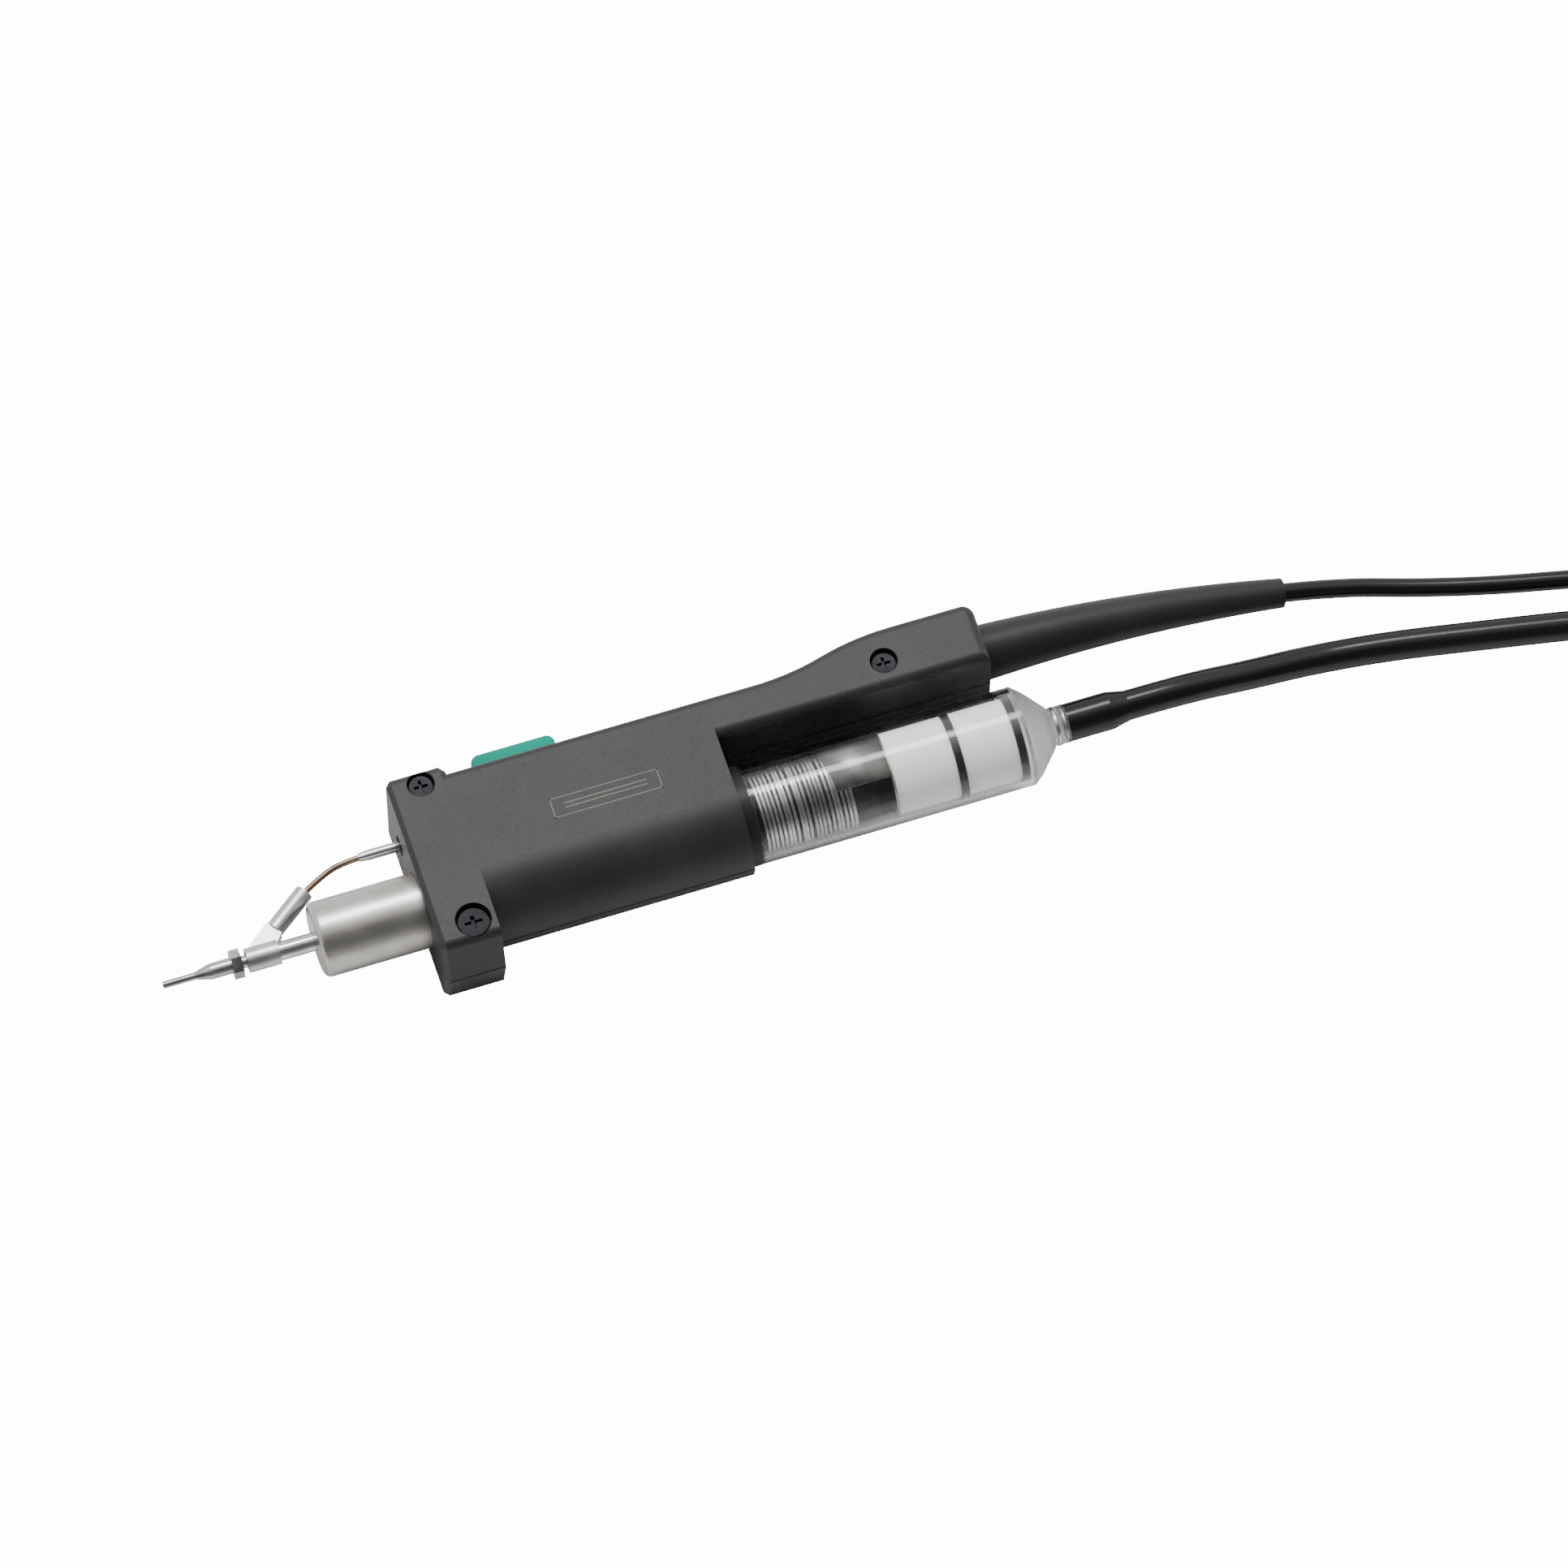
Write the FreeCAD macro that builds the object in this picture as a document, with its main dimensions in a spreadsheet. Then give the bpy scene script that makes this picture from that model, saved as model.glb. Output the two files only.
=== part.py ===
import FreeCAD, Part
import math
import os
import re
import Sketcher

# Hand-held desoldering iron, lying on the flat of its far shell.
# Millimetres. The sketches and shapes are drawn in tool coordinates: X runs along the tool axis from the
# housing's front face towards the cable, Y towards the push-button, Z towards the near shell, and the
# parting plane is Z = 0. place() then moves every piece into the part's own frame, whose origin is on the
# resting face, under the tool axis, `datum` behind the front face.

V = FreeCAD.Vector
TOOL_X = FreeCAD.Rotation(V(0, 1, 0), 90)      # turns a local Z axis onto X
TOOL_Y = FreeCAD.Rotation(V(1, 0, 0), -90)     # turns a local Z axis onto Y

SIZES = {
    # housing
    "datum": 27.0,
    "half_depth": 9.5,
    "wall": 1.5,
    "edge_radius": 1.6,
    "grip_length": 53.5,
    "grip_rise": 8.7,
    "block_length": 10.0,
    "block_rise": 1.6,
    "foot_drop": 13.8,
    "foot_draft": 1.6,
    "foot_radius": 1.4,
    "boss_bevel": 1.0,
    "front_chamfer": 0.8,
    "front_wall": 8.0,
    "arm_under": 10.7,
    "arm_end_out": 46.7,
    "arm_corner": 2.0,
    "hump_rise": 3.3,
    "hump_start_out": 8.5,
    "hump_end_out": 32.5,
    "fit": 0.1,
    "socket_radius": 8.45,
    "socket_depth": 6.0,
    "bulkhead": 2.0,
    # case screws
    "foot_screw_x": 6.3,
    "foot_screw_y": -8.5,
    "foot_screw_head": 2.5,
    "foot_screw_shank": 1.5,
    "foot_screw_seat": 3.0,
    "top_screw_x": 5.4,
    "top_screw_y": 17.2,
    "arm_screw_x_out": 29.9,
    "arm_screw_y": 15.4,
    "case_screw_head": 1.9,
    "case_screw_shank": 1.1,
    "case_screw_seat": 2.3,
    "seat_depth": 2.6,
    "head_height": 1.6,
    "screw_length": 14.0,
    "recess_width": 0.5,
    "recess_depth": 0.8,
    "boss_radius": 2.8,
    # push-button and switch
    "button_x": 22.1,
    "button_length": 14.2,
    "button_width": 7.0,
    "button_rise": 4.3,
    "button_slope": 1.4,
    "button_gap": 0.2,
    "button_travel": 0.9,
    "button_lip": 1.2,
    "lip_thickness": 1.0,
    "stem_radius": 1.2,
    "board_rise": 2.1,
    "board_thickness": 0.8,
    "board_length": 16.0,
    "board_width": 12.0,
    "switch_side": 6.0,
    "switch_height": 1.5,
    "plunger_radius": 1.0,
    "plunger_height": 0.6,
    "button_spring_radius": 2.2,
    "button_spring_wire": 0.2,
    "button_spring_turns": 2.5,
    # heater cartridge
    "sleeve_radius": 6.3,
    "sleeve_wall": 0.4,
    "sleeve_front": -16.5,
    "sleeve_rear": 22.0,
    "cap_front": -18.0,
    "cap_round": 1.2,
    "tube_radius": 1.575,
    "tube_wall": 0.25,
    "tube_front": -29.0,
    "tube_rear": 20.0,
    "heater_rear": -4.0,
    "insulator_front": 4.0,
    "insulator_length": 6.0,
    "plug_radius": 4.6,
    "plug_rear": 33.0,
    "contact_radius": 4.85,
    "contact_length": 2.0,
    "contact_pitch": 3.2,
    "neck_radius": 1.05,
    "collar_front": -32.1,
    "collar_rear": -30.4,
    "collar_radius": 2.45,
    "nozzle_radius": 1.35,
    "nozzle_shoulder": -35.6,
    "tip_radius": 0.62,
    "tip_shoulder": -38.3,
    "tip_front": -43.6,
    "tip_bore": 0.36,
    # suction branch of the cartridge
    "saddle_front": -29.5,
    "saddle_rear": -24.1,
    "saddle_radius": 2.05,
    "gusset_width": 2.2,
    "branch_angle": 37.0,
    "branch_x": -23.7,
    "branch_y": 3.9,
    "branch_radius": 1.55,
    "branch_length": 8.2,
    "suction_radius": 0.52,
    "suction_wall": 0.17,
    "port_y": 12.1,
    "ferrule_radius": 0.9,
    "ferrule_front": -7.0,
    "ferrule_rear": 4.0,
    "ferrule_taper": 1.6,
    "seal_radius": 1.8,
    "seal_front": 0.4,
    # contact socket and duct in the housing
    "contact_socket_front": 23.0,
    "contact_socket_rear": 35.0,
    "contact_socket_radius": 6.8,
    "duct_radius": 1.2,
    "duct_wall": 0.25,
    "duct_end_out": -2.5,
    # solder collector
    "collar_end_out": 1.8,
    "collector_radius": 8.3,
    "collector_wall": 0.95,
    "collector_shoulder_out": 48.5,
    "collector_cone_out": 53.2,
    "cone_radius": 3.6,
    "stop_radius": 3.2,
    "stop_end_out": 56.1,
    "barb_radius": 2.2,
    "barb_step": 0.25,
    "barb_pitch": 2.4,
    "barb_end_out": 63.5,
    "outlet_bore": 1.4,
    "trap_gap": 0.15,
    "trap_front_out": 2.5,
    "trap_rear_out": 19.5,
    "trap_wire": 0.5,
    "trap_turns": 14.0,
    "baffle_rear_out": 25.5,
    "baffle_sheet": 0.4,
    "filter_gap": 0.55,
    "ring_length": 1.3,
    "filter_one_end_out": 35.9,
    "filter_two_end_out": 46.3,
    # strain relief and cable
    "boot_y": 16.3,
    "boot_base": 4.65,
    "boot_tip": 2.45,
    "boot_length": 51.3,
    "boot_tip_y": 14.0,
    "boot_tip_z": -5.0,
    "boot_neck": 3.3,
    "boot_flange": 3.6,
    "cable_radius": 1.6,
    "clamp_x_out": 38.5,
    "clamp_length": 4.0,
    "lead_radius": 0.4,
    "cable_hank_front": 204.0,
    "cable_hank_back": 252.0,
    "cable_hank_y": 7.68,
    "cable_hank_outer": 14.72,
    "cable_hank_inner": 8.0,
    "cable_hank_height": 14.1,
    "connector_radius": 7.0,
    "connector_length": 28.0,
    "connector_shell": 6.2,
    "connector_shell_length": 12.0,
    "connector_pins": 6.0,
    "pin_radius": 0.6,
    "pin_circle": 3.2,
    # suction hose
    "hose_radius": 2.5,
    "hose_bore": 1.5,
    "hose_stretch": 3.15,
    "hose_taper": 3.0,
    "hose_end_out": 67.5,
    "hose_hank_front": 288.0,
    "hose_hank_back": 365.0,
    "hose_hank_y": 4.0,
    "hose_hank_outer": 17.9,
    "hose_hank_inner": 12.9,
    "hose_hank_height": 27.5,
    "fitting_radius": 4.5,
    "fitting_body": 10.0,
    "fitting_spigot": 2.6,
    "fitting_length": 24.0,
}

# Heights and stations worked out from the sizes. Those of BEHIND_GRIP are measured back from the grip's rear end.
BEHIND_GRIP = ["hump_start", "hump_end", "arm_end", "arm_screw_x", "clamp_x", "duct_end", "collar_end", "trap_front",
               "trap_rear", "baffle_rear", "filter_one_end", "filter_two_end", "collector_shoulder",
               "collector_cone", "stop_end", "barb_end", "hose_end"]
DERIVED = {
    "cavity_end": "grip_length - socket_depth - bulkhead",
    "grip_top": "half_depth + grip_rise",
    "block_top": "grip_top + block_rise",
    "hump_top": "grip_top + hump_rise",
    "button_top": "grip_top + button_rise",
    "board_low": "half_depth + board_rise",
    **{station: f"grip_length + {station}_out" for station in BEHIND_GRIP},
}

# Routes of the two cords where they lie free, in the part's own frame. Each starts where its boot or its
# stretched end stops, and ends on the outer side of its folded hank; each tail leads from the hank's top to
# its end piece.
CABLE_ROUTE = [(124.5, 14.0, 4.5), (134.5, 13.0, 2.5), (146.5, 9.4, 1.6), (158.5, 6.0, 1.6),
               (171.0, 3.2, 1.6), (183.0, 0.2, 1.6), (194.0, -3.6, 1.6), (204.0, -5.44, 1.6)]
CABLE_TAIL = [(204.0, -5.44, 12.16), (222.0, -5.3, 13.6), (240.0, -5.0, 15.6), (256.45, -5.0, 16.8),
              (262.75, 1.3, 18.2), (262.75, 10.2, 19.6), (256.45, 16.5, 20.9), (246.0, 16.5, 21.3)]
HOSE_ROUTE = [(94.0, 0.0, 9.5), (103.5, 0.0, 9.5), (113.5, 1.0, 5.6), (125.0, 1.9, 2.5), (138.0, 0.4, 2.5),
              (153.0, -2.4, 2.5), (170.0, -5.6, 2.5), (185.0, -9.2, 2.5), (202.0, -11.0, 2.5),
              (225.0, -11.6, 2.5), (250.0, -11.2, 2.5), (270.0, -11.5, 2.5), (288.0, -11.4, 2.5)]
HOSE_TAIL = [(288.0, -11.4, 27.5), (300.0, -11.0, 29.8), (314.0, -10.0, 32.3)]

doc = FreeCAD.newDocument("desoldering_iron")
sheet = doc.addObject("Spreadsheet::Sheet", "Sizes")
for row, (alias, number) in enumerate(SIZES.items(), start=1):
    sheet.set(f"A{row}", alias)
    sheet.set(f"B{row}", str(number))
    sheet.setAlias(f"B{row}", alias)
doc.recompute()
subparts = {}


# ---------------------------------------------------------------- helpers

def bound(text):
    """The expression with derived names written out and each named size looked up in the sheet."""
    def look_up(word):
        name = word.group()
        if name in DERIVED:
            return f"({bound(DERIVED[name])})"
        return f"Sizes.{name}" if name in SIZES else name
    return re.sub(r"[a-z_]+", look_up, text)


def value(text):
    """The number that an expression in named sizes gives now."""
    found = sheet.evalExpression(bound(text))
    return float(getattr(found, "Value", found))


def bind(item, **properties):
    for name, text in properties.items():
        item.setExpression(name.replace("__", "."), bound(text))
    return item


def move(item, x="0", y="0", z="0", rotation=None):
    """Set an item's place from expressions, after its turn."""
    if rotation is not None:
        item.Placement = FreeCAD.Placement(V(0, 0, 0), rotation)
    return bind(item, Placement__Base__x=x, Placement__Base__y=y, Placement__Base__z=z)


def place(label, item, x="0", y="0", z="0", rotation=None):
    """Name a finished piece and move it from tool coordinates into the part's frame."""
    item.Label = label
    move(item, f"{x} - datum", y, f"{z} + half_depth", rotation)
    subparts[label] = item
    return item


def solid_piece(label, shape):
    """A finished piece whose shape Part's own functions made, in the part's own frame."""
    item = doc.addObject("Part::Feature", "Piece")
    item.Shape = shape
    item.Placement = FreeCAD.Placement()
    item.Label = label
    subparts[label] = item
    return item


def body_of(name):
    return doc.addObject("PartDesign::Body", name)


def plane_of(body, role):
    return [plane for plane in body.Origin.OriginFeatures if plane.Role == role][0]


def outline(body, plane, points, offset=None):
    """A closed sketch. Each point is (x, y) or (x, y, radius, turn) in expressions: a radius makes the edge
    that leaves the point an arc, with turn +1 counter-clockwise or -1 clockwise."""
    sketch = body.newObject("Sketcher::SketchObject", "Outline")
    sketch.AttachmentSupport = (plane_of(body, plane), [""])
    sketch.MapMode = "FlatFace"
    if offset:
        bind(sketch, AttachmentOffset__Base__z=offset)
    spots = [V(value(point[0]), value(point[1]), 0) for point in points]
    ends = []
    for number, point in enumerate(points):
        start = spots[number]
        stop = spots[(number + 1) % len(points)]
        if len(point) == 2:
            sketch.addGeometry(Part.LineSegment(start, stop), False)
            ends.append((1, 2))
            continue
        sketch.addGeometry(arc_edge(start, stop, value(point[2]), point[3]), False)
        ends.append((1, 2) if point[3] > 0 else (2, 1))
    for number, point in enumerate(points):
        following = (number + 1) % len(points)
        sketch.addConstraint(Sketcher.Constraint("Coincident", number, ends[number][1], following, ends[following][0]))
        for kind, text in (("DistanceX", point[0]), ("DistanceY", point[1])):
            rule = Sketcher.Constraint(kind, -1, 1, number, ends[number][0], value(text))
            sketch.setExpression(f"Constraints[{sketch.addConstraint(rule)}]", bound(text))
        if len(point) == 4:
            rule = Sketcher.Constraint("Radius", number, value(point[2]))
            sketch.setExpression(f"Constraints[{sketch.addConstraint(rule)}]", bound(point[2]))
    return sketch


def arc_edge(start, stop, radius, turn):
    """The shorter arc of a radius from start to stop, stored counter-clockwise as a sketch keeps it."""
    first, last = (start, stop) if turn > 0 else (stop, start)
    chord = last - first
    half = chord.Length / 2
    rise = math.sqrt(max(radius * radius - half * half, 0.0))
    centre = first + chord * 0.5 + V(-chord.y, chord.x, 0).normalize() * rise
    begin = math.atan2(first.y - centre.y, first.x - centre.x)
    finish = math.atan2(last.y - centre.y, last.x - centre.x)
    if finish < begin:
        finish += 2 * math.pi
    return Part.ArcOfCircle(Part.Circle(centre, V(0, 0, 1), radius), begin, finish)


def ring_outline(body, plane, x, y, radius, offset=None):
    """A sketch of one circle at a point given in expressions."""
    sketch = body.newObject("Sketcher::SketchObject", "Round")
    sketch.AttachmentSupport = (plane_of(body, plane), [""])
    sketch.MapMode = "FlatFace"
    if offset:
        bind(sketch, AttachmentOffset__Base__z=offset)
    sketch.addGeometry(Part.Circle(V(value(x), value(y), 0), V(0, 0, 1), value(radius)), False)
    for kind, text in (("DistanceX", x), ("DistanceY", y)):
        rule = Sketcher.Constraint(kind, -1, 1, 0, 3, value(text))
        sketch.setExpression(f"Constraints[{sketch.addConstraint(rule)}]", bound(text))
    rule = Sketcher.Constraint("Radius", 0, value(radius))
    sketch.setExpression(f"Constraints[{sketch.addConstraint(rule)}]", bound(radius))
    return sketch


def pad(body, sketch, length):
    feature = body.newObject("PartDesign::Pad", "Pad")
    feature.Profile = sketch
    bind(feature, Length=length)
    doc.recompute()
    return feature


def pocket(body, sketch, length):
    """Cut towards the sketch plane's own normal, and stop if nothing was cut."""
    before = body.Shape.Volume
    feature = body.newObject("PartDesign::Pocket", "Pocket")
    feature.Profile = sketch
    feature.Reversed = True
    bind(feature, Length=length)
    doc.recompute()
    if body.Shape.Volume > before - 0.01:
        raise RuntimeError(f"{body.Name}: {feature.Name} cuts nothing")
    return feature


def edges_where(shape, test):
    """Names of the edges all of whose vertices pass a test."""
    return [f"Edge{number}" for number, edge in enumerate(shape.Edges, start=1)
            if all(test(vertex.Point) for vertex in edge.Vertexes)]


def turned(points):
    """A piece turned about the tool axis: points are (x, radius) as in outline()."""
    body = body_of("Turned")
    sketch = outline(body, "XY_Plane", points)
    feature = body.newObject("PartDesign::Revolution", "Revolution")
    feature.Profile = sketch
    feature.ReferenceAxis = (sketch, ["H_Axis"])
    feature.Angle = 360
    doc.recompute()
    return body


def cylinder(radius, length, x="0", y="0", z="0", rotation=None):
    item = doc.addObject("Part::Cylinder", "Cylinder")
    bind(item, Radius=radius, Height=length)
    return move(item, x, y, z, rotation)


def box(length, width, height, x="0", y="0", z="0"):
    """A box centred on x and z, standing on y."""
    item = doc.addObject("Part::Box", "Box")
    bind(item, Length=length, Width=width, Height=height)
    return move(item, f"{x} - ({length}) / 2", y, f"{z} - ({height}) / 2")


def cut(base, tool):
    item = doc.addObject("Part::Cut", "Cut")
    item.Base = base
    item.Tool = tool
    return item


def fuse(*items):
    item = doc.addObject("Part::MultiFuse", "Fuse")
    item.Shapes = list(items)
    return item


def group(*items):
    item = doc.addObject("Part::Compound", "Group")
    item.Links = list(items)
    return item


def coil_spring(radius, wire, height, turns):
    """A round wire swept along a helix about local Z, starting at local Z = wire radius."""
    helix = doc.addObject("Part::Helix", "Helix")
    bind(helix, Radius=radius, Pitch=f"({height} - 2 * {wire}) / {turns}", Height=f"{height} - 2 * {wire}")
    section = doc.addObject("Part::Circle", "Section")
    section.Placement = FreeCAD.Placement(V(0, 0, 0), FreeCAD.Rotation(V(1, 0, 0), 90))
    bind(section, Radius=wire, Placement__Base__x=radius)
    sweep = doc.addObject("Part::Sweep", "Sweep")
    sweep.Sections = [section]
    sweep.Spine = (helix, [])
    sweep.Solid = True
    sweep.Frenet = True
    doc.recompute()
    return sweep


def bent_path(points):
    """Straight runs joined by tangent arcs as large as the two runs at each point allow."""
    spots = [V(*point) for point in points]
    edges = []
    radii = []
    here = spots[0]
    for before, corner, after in zip(spots, spots[1:], spots[2:]):
        into = (corner - before).normalize()
        out = (after - corner).normalize()
        turn = into.getAngle(out)
        shorter = min((corner - before).Length, (after - corner).Length)
        radius = 0.45 * shorter / math.tan(turn / 2)
        setback = 0.45 * shorter
        first = corner - into * setback
        last = corner + out * setback
        inward = (out - into).normalize()
        middle = corner + inward * (radius / math.cos(turn / 2) - radius)
        edges.append(Part.LineSegment(here, first).toShape())
        edges.append(Part.Arc(first, middle, last).toShape())
        here = last
        radii.append(radius)
    edges.append(Part.LineSegment(here, spots[-1]).toShape())
    return Part.Wire(edges), radii


def bent_rod(points, radius):
    path, radii = bent_path(points)
    start = V(*points[0])
    section = Part.Wire([Part.makeCircle(radius, start, V(*points[1]) - start)])
    rod = path.makePipeShell([section], True, True)
    return rod, path, radii


def bent_tube(points, radius, bore):
    outer = bent_rod(points, radius)[0]
    return outer.cut(bent_rod(points, bore)[0])


def cord_run(label, points, radius):
    """One free stretch of a cord, as a plain rod, with its bends and its volume reported."""
    rod, path, radii = bent_rod(points, radius)
    expected = math.pi * radius * radius * path.Length
    smallest = min(radii)
    print(f"{label}: {path.Length:.1f} mm, smallest radius {smallest:.1f} mm = {smallest / (2 * radius):.1f} dia, "
          f"volume {rod.Volume / expected:.4f} of section times length")
    solid_piece(label, rod)


def in_frame(points):
    """Tool coordinates, as numbers, moved into the part's frame."""
    return [(x - value("datum"), y, z + value("half_depth")) for x, y, z in points]


# ---------------------------------------------------------------- housing shells

def hump_points(inset):
    """The arm's top line, from its rear corner forwards: level, then an S of two equal tangent arcs."""
    sweep_radius = "((hump_end - hump_start)^2 + (hump_top - grip_top)^2) / (4 * (hump_top - grip_top))"
    return [("hump_end", f"hump_top - {inset}", sweep_radius, 1),
            ("(hump_start + hump_end) / 2", f"(hump_top + grip_top) / 2 - {inset}", sweep_radius, -1),
            ("hump_start", f"grip_top - {inset}")]


def half_section(top, radius, corner):
    """Half of the grip's section on the YZ plane: round below, flat side, rounded top corner."""
    return [(f"-({radius})", "0", radius, -1),
            ("0", radius),
            (f"{top} - {corner}", radius, corner, -1),
            (top, f"{radius} - {corner}"),
            (top, "0")]


def shell_blank():
    """One half of the housing before its screw holes: the near half, Z from 0 to half_depth."""
    body = body_of("ShellBlank")
    arm = outline(body, "XY_Plane", [("grip_length - wall", "arm_under"), ("arm_end", "arm_under"),
                                     ("arm_end", "hump_top - arm_corner", "arm_corner", 1),
                                     ("arm_end - arm_corner", "hump_top"), *hump_points("0"),
                                     ("grip_length - wall", "grip_top")])
    base = pad(body, arm, "half_depth")
    face_height = value("half_depth")
    rounded = body.newObject("PartDesign::Fillet", "Fillet")
    rounded.Base = (base, edges_where(body.Shape, lambda p: abs(p.z - face_height) < 0.01 and (
        p.x > value("grip_length"))) + edges_where(body.Shape, lambda p: abs(p.z - face_height) < 0.01 and (
            abs(p.y - value("grip_top")) < 0.01 or abs(p.y - value("arm_under")) < 0.01)))
    bind(rounded, Radius="edge_radius")
    doc.recompute()
    pad(body, outline(body, "YZ_Plane", half_section("grip_top", "half_depth", "edge_radius")), "grip_length")
    block = [("-foot_drop", "0"), ("foot_draft - foot_drop", "half_depth - foot_radius", "foot_radius * 1.1", -1),
             ("foot_draft + foot_radius - foot_drop", "half_depth"),
             ("block_top - edge_radius", "half_depth", "edge_radius", -1),
             ("block_top", "half_depth - edge_radius"), ("block_top", "0")]
    base = pad(body, outline(body, "YZ_Plane", block), "block_length")
    bevel = body.newObject("PartDesign::Chamfer", "Chamfer")
    front = edges_where(body.Shape, lambda p: abs(p.x) < 0.01)
    parting = edges_where(body.Shape, lambda p: abs(p.x) < 0.01 and abs(p.z) < 0.01)
    bevel.Base = (base, [name for name in front if name not in parting])
    bind(bevel, Size="front_chamfer")
    doc.recompute()
    slope = body.newObject("PartDesign::Chamfer", "Chamfer")
    slope.Base = (bevel, edges_where(body.Shape, lambda p: abs(p.x - value("block_length")) < 0.01 and (
        p.y > value("block_top") - 0.01)))
    bind(slope, Size="boss_bevel")
    doc.recompute()
    inner = [("wall - half_depth", "0", "half_depth - wall", -1), ("0", "half_depth - wall"),
             ("grip_top - wall", "half_depth - wall"), ("grip_top - wall", "0")]
    pocket(body, outline(body, "YZ_Plane", inner, "front_wall"), "cavity_end - front_wall")
    arm_room = [("cavity_end - wall", "arm_under + wall"), ("arm_end - wall", "arm_under + wall"),
                ("arm_end - wall", "hump_top - wall"), *hump_points("wall"),
                ("cavity_end - wall", "grip_top - wall")]
    pocket(body, outline(body, "XY_Plane", arm_room), "half_depth - wall")
    pocket(body, ring_outline(body, "YZ_Plane", "0", "0", "sleeve_radius + fit"), "front_wall")
    pocket(body, ring_outline(body, "YZ_Plane", "port_y", "0", "seal_radius"), "front_wall")
    pocket(body, ring_outline(body, "YZ_Plane", "0", "0", "socket_radius", "grip_length - socket_depth"),
           "socket_depth")
    pocket(body, ring_outline(body, "YZ_Plane", "0", "0", "duct_radius + fit", "cavity_end"), "bulkhead")
    pocket(body, ring_outline(body, "YZ_Plane", "boot_y", "0", "boot_neck + fit", "arm_end - wall"), "wall")
    low_x = "button_x - button_length / 2 - button_gap"
    high_x = "button_x + button_length / 2 + button_gap"
    slot = [(low_x, "grip_top - 2 * wall"), (high_x, "grip_top - 2 * wall"), (high_x, "grip_top + wall"),
            (low_x, "grip_top + wall")]
    pocket(body, outline(body, "XY_Plane", slot), "button_width / 2 + button_gap")
    pad(body, ring_outline(body, "XY_Plane", "arm_screw_x", "arm_screw_y", "boss_radius"), "half_depth - wall / 2")
    body.Tip = body.Group[-1]
    return body


SCREWS = [("foot_screw_x", "foot_screw_y", "foot_screw"),
          ("top_screw_x", "top_screw_y", "case_screw"),
          ("arm_screw_x", "arm_screw_y", "case_screw")]


def shells():
    blank = shell_blank()
    near_holes = []
    far_holes = []
    for x, y, kind in SCREWS:
        near_holes.append(cylinder(f"{kind}_seat", "seat_depth + 1", x, y, "half_depth - seat_depth"))
        near_holes.append(cylinder(f"{kind}_shank + fit", "half_depth", x, y, "0"))
        far_holes.append(cylinder(f"{kind}_shank + fit / 2", "screw_length", x, y,
                                  "half_depth - seat_depth - screw_length"))
    place("near_shell", cut(blank, fuse(*near_holes)))
    mirrored = doc.addObject("Part::Mirroring", "Mirrored")
    mirrored.Source = blank
    mirrored.Normal = V(0, 0, 1)
    place("far_shell", cut(mirrored, fuse(*far_holes)))


def screw(x, y, kind):
    """A pan-head screw with a cross recess, its head seated in the near shell."""
    seat = "half_depth - seat_depth"
    head = cylinder(f"{kind}_head", "head_height", x, y, seat)
    shank = cylinder(f"{kind}_shank", "screw_length - 1", x, y, f"{seat} - screw_length + 1")
    top = f"{seat} + head_height"
    arms = [box(f"{kind}_head * {a}", f"{b}", "recess_depth", x, f"{y} - ({b}) / 2", f"{top} - recess_depth / 2")
            for a, b in (("1.2", "recess_width"), ("recess_width / case_screw_head", "1.2 * case_screw_head"))]
    return cut(fuse(head, shank), fuse(*arms))


def screws():
    place("foot_screw", screw(*SCREWS[0]))
    place("case_screws", group(screw(*SCREWS[1]), screw(*SCREWS[2])))


# ---------------------------------------------------------------- push-button and switch

def push_button():
    """The key stands through the top wall; its lip is caught under the wall and its stem meets the switch."""
    wall_under = "grip_top - wall"
    half = "button_length / 2"
    body = body_of("Key")
    slope_y = "button_top - button_slope"
    side = [(f"button_x - {half}", f"{wall_under} - fit"), (f"button_x + {half}", f"{wall_under} - fit"),
            (f"button_x + {half}", slope_y, "button_slope", 1), (f"button_x + {half} - button_slope", "button_top"),
            (f"button_x - {half} + button_slope", "button_top", "button_slope", 1), (f"button_x - {half}", slope_y)]
    feature = pad(body, outline(body, "XY_Plane", side), "button_width")
    feature.Midplane = True
    doc.recompute()
    lip = box(f"button_length + 2 * button_lip", "lip_thickness", "button_width + 2 * button_lip", "button_x",
              f"{wall_under} - fit / 2 - lip_thickness")
    stem_low = "board_low + board_thickness + switch_height + plunger_height + button_travel + fit / 2"
    stem = cylinder("stem_radius", f"{wall_under} - ({stem_low})", "button_x", stem_low, "0", TOOL_Y)
    place("button_key", fuse(body, lip, stem))


def switch():
    board_top = "board_low + board_thickness"
    switch_top = f"{board_top} + switch_height"
    board = box("board_length", "board_thickness", "board_width", "button_x", "board_low")
    place("switch_board", group(board))
    case = box("switch_side", "switch_height", "switch_side", "button_x", board_top)
    place("switch_body", group(case))
    plunger = cylinder("plunger_radius", "plunger_height", "0", "0", "0", TOOL_Y)
    place("switch_plunger", group(plunger), "button_x", switch_top)
    room = f"grip_top - wall - fit / 2 - lip_thickness - ({switch_top})"
    spring = coil_spring("button_spring_radius", "button_spring_wire", room, "button_spring_turns")
    place("button_spring", spring, "button_x", f"{switch_top} + button_spring_wire", "0", TOOL_Y)


# ---------------------------------------------------------------- heater cartridge

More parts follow.
